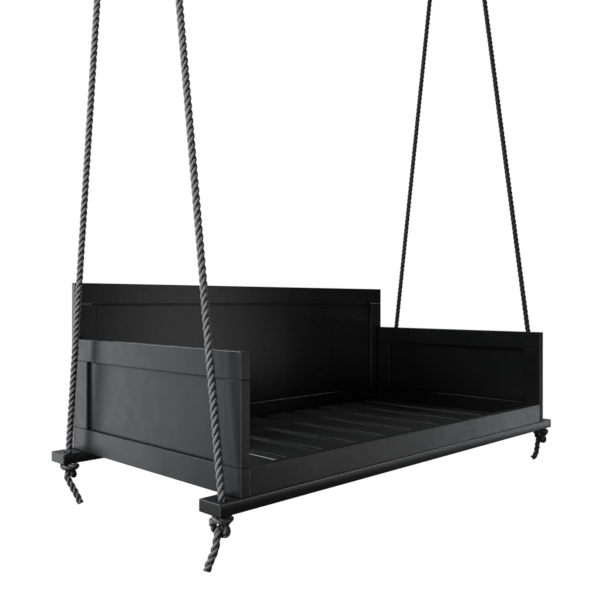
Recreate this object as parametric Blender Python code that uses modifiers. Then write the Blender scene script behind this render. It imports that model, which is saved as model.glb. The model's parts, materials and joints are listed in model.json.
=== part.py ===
"""Rope-hung porch swing bed: a panelled back, two panelled arms, a front rail and ten deck boards
on two runners, hung at each end by a pair of ropes that meet at one ceiling hanger.

Metres, +Z up, +X to the right as seen from the front, front towards -Y.
The origin is the middle of the box the whole swing fills, at its lowest point (the rope tails)."""
import bpy
import bmesh
from math import pi, sin, cos, acos, atan2, sqrt
from mathutils import Matrix, Vector

# ---------------------------------------------------------------- driving dimensions
GAP = 0.0003            # working gap between neighbours
SIDES = (("left", -1), ("right", 1))    # side and the sign of its X

# seat
SEAT_L = 2.005          # outer length over the arms
HALF_L = SEAT_L / 2
EDGE = 0.0020           # eased edges of the frame boards
PANEL_EDGE = 0.0008
Z_DECK = 0.220          # top of the runners, bottom of arms, back and slats
Y_FRONT = -0.5335       # front faces of the arms and of the front rail

ARM_D = 1.038           # arm depth, front to back
ARM_T = 0.036           # arm frame thickness
ARM_H = 0.450           # arm height above the runners
ARM_BOTTOM_H = 0.0917   # top of the bottom rail above the runners
ARM_TOP_H = 0.0875      # height of the top rail
ARM_FRONT_STILE = 0.087
ARM_REAR_STILE = 0.095
ARM_PANEL_T = 0.012

Y_BACK = Y_FRONT + ARM_D + GAP          # front face of the back
BACK_T = 0.027
BACK_H = 0.679          # back height above the runners
BACK_BOTTOM_H = 0.0909  # top of the bottom rail above the runners
BACK_TOP_H = 0.0870     # height of the top rail
BACK_STILE = 0.094
BACK_PANEL_T = 0.006
BACK_RECESS = 0.012     # back panel behind the front face of its frame

GROOVE = 0.010          # depth of the grooves that hold the panels
TONGUE = GROOVE - 0.0015                # how far a panel enters its grooves

FRONT_RAIL_H = 0.0885
FRONT_RAIL_T = 0.036
RAIL_HALF_L = HALF_L - ARM_T - GAP      # half length of the front rail, between the arms
SLATS = 10
SLAT_T = 0.0200
SLAT_W = 0.140
FIRST_SLAT_W = 0.1275
SLAT_PITCH = 0.200
SLAT_INSET = 0.045      # left edge of the first slat from the left end of the seat
SLAT_LIMIT = RAIL_HALF_L - 0.002        # no slat reaches further right
SLAT_END_GAP = 0.0006   # from a slat's ends to the front rail and to the back

# runners and their rope holes
RUNNER_W = 0.104
RUNNER_T = 0.040
RUNNER_EDGE = 0.0035
OVERHANG = 0.084        # runner past each arm
RUNNER_BOTTOM = Z_DECK - RUNNER_T
FRONT_RUNNER_Y = Y_FRONT - 0.0034       # front edge of the front runner
REAR_RUNNER_Y = Y_FRONT + 0.9680        # front edge of the rear runner
HOLE_R = 0.019
HOLE_X = HALF_L + 0.042
HOLE_Y_FRONT = Y_FRONT + 0.037
HOLE_Y_REAR = Y_FRONT + 1.012

# ropes, with eyes at the top and knots under the runners
ROPE_R = 0.013
HANG_Y = 0.0185         # both hangers stand over this line
EYE_Z = 3.715           # centres of the rope eyes
EYE_Y = 0.0185          # rope eyes sit this far in front of and behind the hang line
EYE_ROPE_R = 0.0335     # centre line of the rope round its thimble
PIVOT_Z = Z_DECK - RUNNER_T / 2         # where a rope bends in its hole
THROAT = 0.150          # distances down the rope from the eye centre: where the eye closes,
RETURN_END = 0.255      # where the returned rope ends
SEIZING_DROP = 0.195    # and the middle of the seizing
RETURN_X = 0.0274       # returned rope beside the standing part, centre to centre
SEIZING_HALF_H = 0.022
SEIZING_T = 0.0036      # outside of the seizing beyond the rope surface
THIMBLE_BORE = 0.0155
THIMBLE_RIM_R = 0.0270
THIMBLE_HALF_W = 0.0142
THIMBLE_GROOVE_R = 0.0139
KNOT_R = 0.040

# hanging ring and drop link
RING_R = 0.062          # centre line of the wire
RING_WIRE = 0.007       # wire radius
WIRE_RISE = 0.0028      # wire above the centres of the rope eyes
RING_Z = EYE_Z + WIRE_RISE + sqrt(RING_R ** 2 - EYE_Y ** 2)
RING_TOP_Z = RING_Z + RING_R            # side sway turns here
LINK_EYE_Z = RING_TOP_Z + 0.0030
BOLT_Z = LINK_EYE_Z + 0.075             # fore and aft swing turns here
SHANK_R = 0.0075
SHANK_TRIM = 0.024      # link shank shorter than its eye spacing
TOP_EYE_R, TOP_EYE_T = 0.0165, 0.014
LOW_EYE_R, LOW_EYE_T = 0.0200, 0.011
LOW_BORE_R = 0.0112
LINK_BORE_L = 0.05      # length of the bore cutters

# ceiling bracket
EAR_DROP = 0.036        # bolt below the plate
PLATE_Z = BOLT_Z + EAR_DROP             # underside of the ceiling plate
PLATE_T = 0.008
PLATE_W, PLATE_D = 0.070, 0.140
PLATE_EDGE = 0.0020
EAR_X = 0.0125          # ear middles either side of the bracket middle
EAR_T = 0.007
EAR_R = 0.022           # rounded lower end of the ear
EAR_ROOT = 0.003        # how far the ear enters the plate

# pivot bolt and lag screws
BOLT_R = 0.0060
BOLT_L = 0.047
BOLT_START = -0.018     # left end of the bolt shank from the bracket middle
BOLT_BORE_R = 0.0063
HEX_R = 0.0105          # corner radius of bolt head and nut
BOLT_HEAD_T = 0.0080
NUT_T = 0.0095
HEX_FACE = EAR_X + EAR_T / 2 + GAP      # inner faces of bolt head and nut from the middle
LAG_Y = 0.050           # lag screws in front of and behind the hang line
LAG_HOLE_R = 0.0046
LAG_HEAD_R, LAG_HEAD_T = 0.0085, 0.0060
LAG_R, LAG_L = 0.0042, 0.062
LAG_START = PLATE_Z - 0.003             # bottom of the shank, inside the head
LAG_TIP_R, LAG_TIP_L = 0.0008, 0.008
LAG_TIP_OVERLAP = 0.0002

# colours, RGBA
BLACK = (0.018, 0.0185, 0.0195, 1)
ROPE_GREY = (0.075, 0.077, 0.082, 1)
SEIZING_GREY = (0.03, 0.03, 0.032, 1)
ZINC = (0.42, 0.43, 0.44, 1)

# ---------------------------------------------------------------- scene and helpers
for old in list(bpy.data.objects):
    bpy.data.objects.remove(old, do_unlink=True)


def collection(name):
    coll = bpy.data.collections.new(name)
    bpy.context.scene.collection.children.link(coll)
    return coll


parts = collection("porch_swing_bed")
cutters = collection("cutters")


def add(name, data, location, parent=None, rotation=(0, 0, 0), into=parts):
    """Place an object; the location is in world space and parents are never turned."""
    obj = bpy.data.objects.new(name, data)
    into.objects.link(obj)
    if parent:
        obj.parent = parent
        location = Vector(location) - parent.location
    obj.location = location
    obj.rotation_euler = rotation
    return obj


def add_cutter(name, mesh, location):
    """A hidden helper for boolean modifiers."""
    obj = add(name, mesh, location, into=cutters)
    obj.hide_render = True
    obj.display_type = "WIRE"
    return obj


def add_axis(name, location):
    axis = add(name, None, location)
    axis.empty_display_size = 0.05
    return axis


def paint(obj, colour, roughness, metallic=0.0):
    mat = bpy.data.materials.new(obj.name + "_finish")
    mat.use_nodes = True
    shader = mat.node_tree.nodes["Principled BSDF"]
    shader.inputs["Base Color"].default_value = colour
    shader.inputs["Roughness"].default_value = roughness
    shader.inputs["Metallic"].default_value = metallic
    mat.diffuse_color = colour
    obj.data.materials.append(mat)


def paint_zinc(obj, roughness):
    paint(obj, ZINC, roughness=roughness, metallic=1.0)


def to_mesh(bm, name):
    mesh = bpy.data.meshes.new(name)
    bm.to_mesh(mesh)
    bm.free()
    return mesh


def block(size):
    bm = bmesh.new()
    bmesh.ops.create_cube(bm, size=1.0)
    bmesh.ops.scale(bm, vec=size, verts=bm.verts)
    return to_mesh(bm, "block")


def rod(radius, length, sides=32, axis="Z", end_radius=None):
    """A prism along an axis, tapered when an end radius is given."""
    bm = bmesh.new()
    bmesh.ops.create_cone(bm, cap_ends=True, segments=sides, radius1=radius,
                          radius2=radius if end_radius is None else end_radius, depth=length)
    if axis != "Z":
        turn = Matrix.Rotation(pi / 2, 3, "Y" if axis == "X" else "X")
        bmesh.ops.rotate(bm, cent=(0, 0, 0), matrix=turn, verts=bm.verts)
    return to_mesh(bm, "rod")


def smooth(mesh):
    for poly in mesh.polygons:
        poly.use_smooth = True


def ease(obj, width, segments):
    mod = obj.modifiers.new("eased_edges", "BEVEL")
    mod.width = width
    mod.segments = segments
    mod.limit_method = "ANGLE"
    smooth(obj.data)


def combine(obj, cutter, operation):
    mod = obj.modifiers.new(operation.lower() + "_" + cutter.name, "BOOLEAN")
    mod.operation = operation
    mod.object = cutter


def cut(obj, cutter):
    combine(obj, cutter, "DIFFERENCE")


def join(obj, cutter):
    combine(obj, cutter, "UNION")


def board(name, low, high, edge=EDGE, roughness=0.42, segments=3):
    """A seat board between two corners, origin at its middle, edges eased."""
    low, high = Vector(low), Vector(high)
    obj = add(name, block(high - low), (low + high) / 2, seat_axis)
    ease(obj, edge, segments)
    paint(obj, BLACK, roughness=roughness)
    return obj


def lathe(name, profile, location, parent, rotation, steps):
    """Closed profile in the XZ plane turned about Z."""
    count = len(profile)
    mesh = bpy.data.meshes.new(name)
    mesh.from_pydata([(radius, 0, z) for radius, z in profile],
                     [(k, (k + 1) % count) for k in range(count)], [])
    obj = add(name, mesh, location, parent, rotation)
    mod = obj.modifiers.new("turn", "SCREW")
    mod.axis = "Z"
    mod.steps = mod.render_steps = steps
    mod.use_merge_vertices = True
    mod.merge_threshold = 0.00001
    mod.use_smooth_shade = True
    return obj


def bezier(p0, p1, p2, p3, steps):
    """Points along a cubic, without its first point."""
    out = []
    for k in range(1, steps + 1):
        t = k / steps
        s = 1 - t
        out.append(tuple(s ** 3 * a + 3 * s ** 2 * t * b + 3 * s * t ** 2 * c + t ** 3 * d
                         for a, b, c, d in zip(p0, p1, p2, p3)))
    return out


def add_loop(curve, points):
    """Add a straight-segment spline through 3D points to a curve."""
    spline = curve.splines.new("POLY")
    spline.points.add(len(points) - 1)
    for point, co in zip(spline.points, points):
        point.co = (*co, 1)
    return spline


def tube(name, points, location, parent=None, rotation=(0, 0, 0)):
    """A length of rope through the points."""
    curve = bpy.data.curves.new(name, "CURVE")
    curve.dimensions = "3D"
    curve.bevel_depth = ROPE_R
    curve.bevel_resolution = 4
    curve.use_fill_caps = True
    add_loop(curve, points).use_smooth = True
    return add(name, curve, location, parent, rotation)


# ---------------------------------------------------------------- joint axes
swing_axis = add_axis("swing_axis", (0, HANG_Y, BOLT_Z))
sway_axes = {side: add_axis("sway_%s_axis" % side, (sign * HOLE_X, HANG_Y, RING_TOP_Z))
             for side, sign in SIDES}
seat_axis = add_axis("seat_axis", (-HOLE_X, 0, PIVOT_Z))


# ---------------------------------------------------------------- seat
def build_runner(name, y_front, hole_y):
    half = HALF_L + OVERHANG
    runner = board(name, (-half, y_front, RUNNER_BOTTOM), (half, y_front + RUNNER_W, Z_DECK),
                   edge=RUNNER_EDGE)
    for side, sign in SIDES:
        cut(runner, add_cutter(name + "_hole_" + side, rod(HOLE_R, 0.1),
                               (sign * HOLE_X, hole_y, Z_DECK)))


def framed_panel(name, stile_names, corner, ends, stiles, faces, panel_middle, panel_t, heights):
    """Two full-length rails, two stiles between them and a panel held in grooves.

    corner turns (along, across, z) into a point; ends, stiles and faces are pairs: the frame's
    ends along its length, its stile widths and its two faces across its thickness.
    heights are those of the bottom rail's top, the top rail's underside and the frame's top."""
    start, end = ends
    face_low, face_high = faces
    rail_low, rail_top, top = heights
    open_start, open_end = start + stiles[0], end - stiles[1]

    def around_opening(thickness, reach):
        half = thickness / 2
        return (corner(open_start - reach, panel_middle - half, rail_low - reach),
                corner(open_end + reach, panel_middle + half, rail_top + reach))

    low, high = map(Vector, around_opening(panel_t + 2 * GAP, GROOVE))
    groove = add_cutter(name + "_groove", block(high - low), (low + high) / 2)
    # name, extent along the frame, extent in height
    for piece, (along_0, along_1), (z0, z1) in (
            ("top_rail", ends, (rail_top, top)),
            ("bottom_rail", ends, (Z_DECK + GAP, rail_low)),
            (stile_names[0], (start, open_start), (rail_low + GAP, rail_top - GAP)),
            (stile_names[1], (open_end, end), (rail_low + GAP, rail_top - GAP))):
        cut(board(name + "_" + piece, corner(along_0, face_low, z0),
                  corner(along_1, face_high, z1)), groove)
    board(name + "_panel", *around_opening(panel_t, TONGUE),
          edge=PANEL_EDGE, roughness=0.46, segments=1)


def build_arm(side, sign):
    middle = sign * (HALF_L - ARM_T / 2)
    top = Z_DECK + ARM_H
    framed_panel(side + "_arm", ("front_stile", "rear_stile"),
                 corner=lambda along, across, z: (across, along, z),
                 ends=(Y_FRONT, Y_FRONT + ARM_D),
                 stiles=(ARM_FRONT_STILE, ARM_REAR_STILE),
                 faces=(middle - ARM_T / 2, middle + ARM_T / 2),
                 panel_middle=middle, panel_t=ARM_PANEL_T,
                 heights=(Z_DECK + ARM_BOTTOM_H, top - ARM_TOP_H, top))


def build_back():
    top = Z_DECK + BACK_H
    framed_panel("back", ("left_stile", "right_stile"),
                 corner=lambda along, across, z: (along, across, z),
                 ends=(-HALF_L, HALF_L),
                 stiles=(BACK_STILE, BACK_STILE),
                 faces=(Y_BACK, Y_BACK + BACK_T),
                 panel_middle=Y_BACK + BACK_RECESS + BACK_PANEL_T / 2, panel_t=BACK_PANEL_T,
                 heights=(Z_DECK + BACK_BOTTOM_H, top - BACK_TOP_H, top))


def build_deck():
    bottom = Z_DECK + GAP
    rail_rear = Y_FRONT + FRONT_RAIL_T
    board("front_rail", (-RAIL_HALF_L, Y_FRONT, bottom),
          (RAIL_HALF_L, rail_rear, Z_DECK + FRONT_RAIL_H))
    for i in range(SLATS):
        left = -HALF_L + SLAT_INSET + SLAT_PITCH * i
        right = min(left + (FIRST_SLAT_W if i == 0 else SLAT_W), SLAT_LIMIT)
        board("slat_%02d" % (i + 1), (left, rail_rear + SLAT_END_GAP, bottom),
              (right, Y_BACK - SLAT_END_GAP, bottom + SLAT_T), roughness=0.5, segments=2)


build_runner("front_runner", FRONT_RUNNER_Y, HOLE_Y_FRONT)
build_runner("rear_runner", REAR_RUNNER_Y, HOLE_Y_REAR)
for side, sign in SIDES:
    build_arm(side, sign)
build_back()
build_deck()


# ---------------------------------------------------------------- ropes
def rope_path(length):
    """From the hole up to the eye, round the thimble and back down beside the standing part."""
    throat = length - THROAT
    eye_left, eye_right = (-EYE_ROPE_R, 0, length), (EYE_ROPE_R, 0, length)
    path = [(0, 0, 0.0010), (0, 0, length * 0.5), (0, 0, throat)]
    path += bezier(path[-1], (0, 0, length - 0.092), (-EYE_ROPE_R, 0, length - 0.062),
                   eye_left, steps=7)
    for k in range(1, 9):
        angle = pi - pi * k / 9
        path.append((EYE_ROPE_R * cos(angle), 0, length + EYE_ROPE_R * sin(angle)))
    path.append(eye_right)
    path += bezier(eye_right, (EYE_ROPE_R, 0, length - 0.050), (RETURN_X, 0, length - 0.090),
                   (RETURN_X, 0, throat), steps=6)
    path.append((RETURN_X, 0, length - RETURN_END))
    return path


def build_thimble(name, eye, axis, lean):
    """Grooved thimble, bore across the rope."""
    half_angle = acos((EYE_ROPE_R - THIMBLE_RIM_R) / THIMBLE_GROOVE_R)
    profile = [(THIMBLE_BORE, THIMBLE_HALF_W), (THIMBLE_RIM_R, THIMBLE_HALF_W)]
    for k in range(7):
        angle = half_angle - 2 * half_angle * k / 6
        profile.append((EYE_ROPE_R - THIMBLE_GROOVE_R * cos(angle),
                        THIMBLE_GROOVE_R * sin(angle)))
    profile += [(THIMBLE_RIM_R, -THIMBLE_HALF_W), (THIMBLE_BORE, -THIMBLE_HALF_W)]
    thimble = lathe("thimble_" + name, profile, eye, axis, (lean + pi / 2, 0, 0), steps=28)
    paint_zinc(thimble, roughness=0.38)


def build_seizing(name, spot, axis, lean):
    """A band round the rope and its returned end."""
    band = bpy.data.curves.new("seizing_" + name, "CURVE")
    band.dimensions = "2D"
    band.fill_mode = "BOTH"
    band.extrude = SEIZING_HALF_H
    for radius in (ROPE_R + SEIZING_T, ROPE_R + GAP):
        outline = []
        for middle_x, first_angle in ((RETURN_X, -pi / 2), (0, pi / 2)):
            for k in range(11):
                angle = first_angle + pi * k / 10
                outline.append((middle_x + radius * cos(angle), radius * sin(angle), 0))
        add_loop(band, outline).use_cyclic_u = True
    seizing = add("seizing_" + name, band, spot, axis, (lean, 0, 0))
    paint(seizing, SEIZING_GREY, roughness=0.8)


def solid_tube(name, points):
    """A rope through world points, as a closed mesh cutter."""
    rope = tube(name, points, (0, 0, 0))
    bpy.context.view_layer.update()
    graph = bpy.context.evaluated_depsgraph_get()
    mesh = bpy.data.meshes.new_from_object(rope.evaluated_get(graph))
    bm = bmesh.new()
    bm.from_mesh(mesh)
    bmesh.ops.remove_doubles(bm, verts=bm.verts, dist=0.00001)
    bm.to_mesh(mesh)
    bm.free()
    bpy.data.objects.remove(rope, do_unlink=True)
    return add_cutter(name + "_solid", mesh, (0, 0, 0))


def build_knot(name, x, y, tail_end):
    """Stopper knot under the runner, with the stub in the hole and the free tail."""
    centre_z = RUNNER_BOTTOM - GAP - KNOT_R
    bm = bmesh.new()
    bmesh.ops.create_uvsphere(bm, u_segments=18, v_segments=10, radius=KNOT_R)
    mesh = to_mesh(bm, "knot")
    smooth(mesh)
    knot = add("knot_" + name, mesh, (x, y, centre_z), seat_axis)
    east, north, end_z = tail_end
    path = [(x, y, PIVOT_Z - 0.0020), (x, y, RUNNER_BOTTOM - 0.02), (x, y, centre_z)]
    path += bezier(path[-1], (x, y, centre_z - 0.035),
                   (x + east * 0.55, y + north * 0.55, centre_z - 0.07),
                   (x + east, y + north, end_z + 0.0016), steps=8)
    join(knot, solid_tube("knot_stem_" + name, path))
    paint(knot, ROPE_GREY, roughness=0.85)


def build_rope(name, x, hole_y, eye_y, axis):
    low = Vector((x, hole_y, PIVOT_Z))
    eye = Vector((x, eye_y, EYE_Z))
    run = eye - low
    lean = -atan2(run.y, run.z)
    rope = tube("rope_" + name, rope_path(run.length), low, axis, (lean, 0, 0))
    paint(rope, ROPE_GREY, roughness=0.85)
    build_thimble(name, eye, axis, lean)
    spot = low + run.normalized() * (run.length - SEIZING_DROP)
    build_seizing(name, spot, axis, lean)


# where each rope end lies: +X and +Y from its hole, and its height
TAILS = {
    "front_left": (-0.034, 0.032, 0.005),
    "rear_left": (0.034, -0.036, 0.014),
    "front_right": (-0.028, 0.026, 0.020),
    "rear_right": (0.020, -0.026, 0.010),
}

for side, sign in SIDES:
    for end, hole_y, eye_y in (("front", HOLE_Y_FRONT, HANG_Y - EYE_Y),
                               ("rear", HOLE_Y_REAR, HANG_Y + EYE_Y)):
        name = end + "_" + side
        build_rope(name, sign * HOLE_X, hole_y, eye_y, sway_axes[side])
        build_knot(name, sign * HOLE_X, hole_y, TAILS[name])


# ---------------------------------------------------------------- rings, links, ceiling hangers
def build_ring(side, x):
    """Round-wire ring, standing fore and aft."""
    angles = [2 * pi * k / 12 for k in range(12)]
    profile = [(RING_R + RING_WIRE * cos(a), -RING_WIRE * sin(a)) for a in angles]
    ring = lathe("hanging_ring_" + side, profile, (x, HANG_Y, RING_Z), sway_axes[side],
                 (0, pi / 2, 0), steps=36)
    paint_zinc(ring, roughness=0.35)


def build_link(side, x):
    """Drop link: top eye on the bolt, bottom eye turned a quarter turn for the ring."""
    shank = rod(SHANK_R, BOLT_Z - LINK_EYE_Z - SHANK_TRIM, sides=24)
    link = add("hanger_link_" + side, shank, (x, HANG_Y, (BOLT_Z + LINK_EYE_Z) / 2), swing_axis)
    for name, apply, radius, length, axis, z in (
            ("top_eye", join, TOP_EYE_R, TOP_EYE_T, "X", BOLT_Z),
            ("low_eye", join, LOW_EYE_R, LOW_EYE_T, "Y", LINK_EYE_Z),
            ("top_bore", cut, BOLT_BORE_R, LINK_BORE_L, "X", BOLT_Z),
            ("low_bore", cut, LOW_BORE_R, LINK_BORE_L, "Y", LINK_EYE_Z)):
        apply(link, add_cutter(side + "_link_" + name, rod(radius, length, axis=axis),
                               (x, HANG_Y, z)))
    paint_zinc(link, roughness=0.35)


def build_bracket(side, x):
    """Ceiling plate with two ears, drilled for the bolt and the lag screws."""
    bracket = add("hanger_bracket_" + side, block((PLATE_W, PLATE_D, PLATE_T)),
                  (x, HANG_Y, PLATE_Z + PLATE_T / 2))
    ease(bracket, PLATE_EDGE, segments=2)
    ear_h = EAR_DROP + EAR_ROOT
    for k, ear_x in enumerate((x - EAR_X, x + EAR_X)):
        join(bracket, add_cutter(side + "_ear_%d" % k, block((EAR_T, 2 * EAR_R, ear_h)),
                                 (ear_x, HANG_Y, BOLT_Z + ear_h / 2)))
        join(bracket, add_cutter(side + "_ear_nose_%d" % k, rod(EAR_R, EAR_T, 36, "X"),
                                 (ear_x, HANG_Y, BOLT_Z)))
    cut(bracket, add_cutter(side + "_bolt_hole", rod(BOLT_BORE_R, 0.08, axis="X"),
                            (x, HANG_Y, BOLT_Z)))
    for k, y in enumerate((HANG_Y - LAG_Y, HANG_Y + LAG_Y)):
        cut(bracket, add_cutter(side + "_lag_hole_%d" % k, rod(LAG_HOLE_R, 0.05, sides=24),
                                (x, y, PLATE_Z)))
    paint_zinc(bracket, roughness=0.4)


def build_lag_screw(name, x, y):
    """Hexagon-headed lag screw, head under the plate."""
    lag = add(name, rod(LAG_HEAD_R, LAG_HEAD_T, sides=6), (x, y, PLATE_Z - GAP - LAG_HEAD_T / 2))
    join(lag, add_cutter(name + "_shank", rod(LAG_R, LAG_L, sides=14),
                         (x, y, LAG_START + LAG_L / 2)))
    tip_z = LAG_START + LAG_L + LAG_TIP_L / 2 - LAG_TIP_OVERLAP
    join(lag, add_cutter(name + "_tip", rod(LAG_R, LAG_TIP_L, sides=14, end_radius=LAG_TIP_R),
                         (x, y, tip_z)))
    paint_zinc(lag, roughness=0.35)


def build_pivot_bolt(side, x):
    """Hexagon-headed bolt, head to the left of the ears."""
    bolt = add("pivot_bolt_" + side, rod(HEX_R, BOLT_HEAD_T, 6, "X"),
               (x - HEX_FACE - BOLT_HEAD_T / 2, HANG_Y, BOLT_Z))
    join(bolt, add_cutter(side + "_bolt_shank", rod(BOLT_R, BOLT_L, axis="X"),
                          (x + BOLT_START + BOLT_L / 2, HANG_Y, BOLT_Z)))
    paint_zinc(bolt, roughness=0.3)


def build_pivot_nut(side, x):
    """Hexagon nut to the right of the ears."""
    nut_x = x + HEX_FACE + NUT_T / 2
    nut = add("pivot_nut_" + side, rod(HEX_R, NUT_T, 6, "X"), (nut_x, HANG_Y, BOLT_Z))
    cut(nut, add_cutter(side + "_nut_bore", rod(BOLT_BORE_R, 0.03, axis="X"),
                        (x + 0.021, HANG_Y, BOLT_Z)))
    paint_zinc(nut, roughness=0.3)


for side, sign in SIDES:
    x = sign * HOLE_X
    build_ring(side, x)
    build_link(side, x)
    build_bracket(side, x)
    build_lag_screw("lag_screw_%s_front" % side, x, HANG_Y - LAG_Y)
    build_lag_screw("lag_screw_%s_rear" % side, x, HANG_Y + LAG_Y)
    build_pivot_bolt(side, x)
    build_pivot_nut(side, x)
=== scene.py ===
"""Porch swing bed: painted timber, zinc fittings, laid ropes and stopper knots.

The bed's length runs along x, with its left end at -x. Its front faces -y and z is up.
Four ropes hang through holes in the two runners, each stopped beneath by an overhand knot.
"""
import bpy
import json
import numpy as np
from math import sin, cos, pi, radians, atan2
from mathutils import Matrix, Vector


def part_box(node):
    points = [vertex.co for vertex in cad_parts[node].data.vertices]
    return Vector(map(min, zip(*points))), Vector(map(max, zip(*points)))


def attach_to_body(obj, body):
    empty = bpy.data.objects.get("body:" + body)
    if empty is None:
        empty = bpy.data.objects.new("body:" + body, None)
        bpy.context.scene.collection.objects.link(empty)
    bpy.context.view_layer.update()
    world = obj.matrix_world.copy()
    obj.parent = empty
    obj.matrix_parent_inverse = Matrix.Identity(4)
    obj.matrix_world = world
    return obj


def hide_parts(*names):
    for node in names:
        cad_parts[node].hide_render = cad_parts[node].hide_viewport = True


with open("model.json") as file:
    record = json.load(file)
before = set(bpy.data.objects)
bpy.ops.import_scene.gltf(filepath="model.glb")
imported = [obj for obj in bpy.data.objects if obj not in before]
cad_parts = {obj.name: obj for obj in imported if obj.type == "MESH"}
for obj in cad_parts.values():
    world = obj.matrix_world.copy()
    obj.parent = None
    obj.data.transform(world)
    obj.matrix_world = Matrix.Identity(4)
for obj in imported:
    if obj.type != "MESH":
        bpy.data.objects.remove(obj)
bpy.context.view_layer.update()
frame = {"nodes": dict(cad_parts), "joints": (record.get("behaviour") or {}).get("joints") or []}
NODES = frame["nodes"]
scene = bpy.context.scene


# ------------------------------------------------------------------ node graphs
class Graph:
    """A node tree, emptied, with short calls that add nodes and return their output."""

    def __init__(self, tree):
        self.tree = tree
        tree.nodes.clear()

    def new(self, kind, **settings):
        node = self.tree.nodes.new(kind)
        for key, value in settings.items():
            setattr(node, key, value)
        return node

    def put(self, socket, value):
        """Link a socket to another one, or set its value."""
        if isinstance(value, bpy.types.NodeSocket):
            self.tree.links.new(value, socket)
        else:
            socket.default_value = value

    def math(self, operation, first, second=None):
        node = self.new("ShaderNodeMath", operation=operation)
        self.put(node.inputs[0], first)
        if second is not None:
            self.put(node.inputs[1], second)
        return node.outputs[0]

    def weighted(self, *terms):
        """Sum of (value, weight) pairs."""
        total = None
        for value, weight in terms:
            term = self.math("MULTIPLY", value, weight)
            total = term if total is None else self.math("ADD", total, term)
        return total

    def vector(self, operation, first, second=None, scale=None):
        node = self.new("ShaderNodeVectorMath", operation=operation)
        self.put(node.inputs[0], first)
        if second is not None:
            self.put(node.inputs[1], second)
        if scale is not None:
            self.put(node.inputs["Scale"], scale)
        return node.outputs["Value" if operation == "DOT_PRODUCT" else "Vector"]

    def combine(self, *parts):
        node = self.new("ShaderNodeCombineXYZ")
        for socket, part in zip(node.inputs, parts):
            self.put(socket, part)
        return node.outputs[0]

    def separate(self, vector):
        node = self.new("ShaderNodeSeparateXYZ")
        self.put(node.inputs[0], vector)
        return node.outputs

    def stretched(self, vector, scale):
        node = self.new("ShaderNodeMapping")
        self.put(node.inputs["Vector"], vector)
        node.inputs["Scale"].default_value = scale
        return node.outputs[0]

    def noise(self, vector, scale, detail, rough, distortion=0.0):
        node = self.new("ShaderNodeTexNoise")
        self.put(node.inputs["Vector"], vector)
        node.inputs["Scale"].default_value = scale
        node.inputs["Detail"].default_value = detail
        node.inputs["Roughness"].default_value = rough
        node.inputs["Distortion"].default_value = distortion
        return node.outputs["Fac"]

    def ramp(self, factor, stops):
        """Colour ramp; stops are (position, colour)."""
        node = self.new("ShaderNodeValToRGB")
        elements = node.color_ramp.elements
        while len(elements) > 1:
            elements.remove(elements[-1])
        elements[0].position, elements[0].color = stops[0]
        for position, colour in stops[1:]:
            elements.new(position).color = colour
        self.put(node.inputs["Fac"], factor)
        return node.outputs["Color"]

    def mix(self, factor, first, second):
        node = self.new("ShaderNodeMix", data_type="RGBA")
        self.put(node.inputs[0], factor)
        self.put(node.inputs[6], first)
        self.put(node.inputs[7], second)
        return node.outputs[2]

    def remap(self, value, over, to):
        """Map the range `over` onto the range `to`, clamped."""
        node = self.new("ShaderNodeMapRange")
        self.put(node.inputs[0], value)
        for k, limit in enumerate((*over, *to)):
            self.put(node.inputs[k + 1], limit)
        return node.outputs[0]

    def wave(self, phase):
        """0 to 1 and back for each whole number of phase."""
        sine = self.math("SINE", self.math("MULTIPLY", phase, 2 * pi))
        return self.remap(sine, over=(-1, 1), to=(0, 1))

    def openness(self, distance):
        """Ambient occlusion: 1 in the open, less in corners."""
        node = self.new("ShaderNodeAmbientOcclusion", samples=6)
        node.inputs["Distance"].default_value = distance
        return node.outputs["AO"]

    def bump(self, height, strength, distance, normal=None):
        node = self.new("ShaderNodeBump")
        self.put(node.inputs["Height"], height)
        node.inputs["Strength"].default_value = strength
        node.inputs["Distance"].default_value = distance
        if normal is not None:
            self.put(node.inputs["Normal"], normal)
        return node.outputs["Normal"]


def new_material(name):
    """A material with a Principled surface; returns it, its graph and the surface's inputs."""
    material = bpy.data.materials.new(name)
    material.use_nodes = True
    g = Graph(material.node_tree)
    g.output = g.new("ShaderNodeOutputMaterial")
    g.bsdf = g.new("ShaderNodeBsdfPrincipled")
    g.put(g.output.inputs[0], g.bsdf.outputs[0])
    return material, g, g.bsdf.inputs


def grey(value, tint=(1.0, 1.0, 1.0)):
    return (value * tint[0], value * tint[1], value * tint[2], 1.0)


# ------------------------------------------------------------------ materials
def crowned(g, coords, normal, crown):
    """Tip the normals of the long upright faces, as if worked slightly round in height."""
    height = g.separate(coords.outputs["Generated"])[2]
    facing = g.separate(coords.outputs["Normal"])[1]
    upright = g.math("GREATER_THAN", g.math("ABSOLUTE", facing), 0.9)
    # the power keeps the turn near the top edge
    amount = g.remap(g.math("POWER", height, 2.4), over=(0.0, 1.0), to=(-crown, crown))
    amount = g.math("MULTIPLY", amount, upright)
    up = g.new("ShaderNodeVectorTransform", vector_type="VECTOR",
               convert_from="OBJECT", convert_to="WORLD")
    up.inputs[0].default_value = (0.0, 0.0, 1.0)
    lift = g.vector("SCALE", up.outputs[0], scale=amount)
    return g.vector("NORMALIZE", g.vector("ADD", normal, lift))


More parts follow.
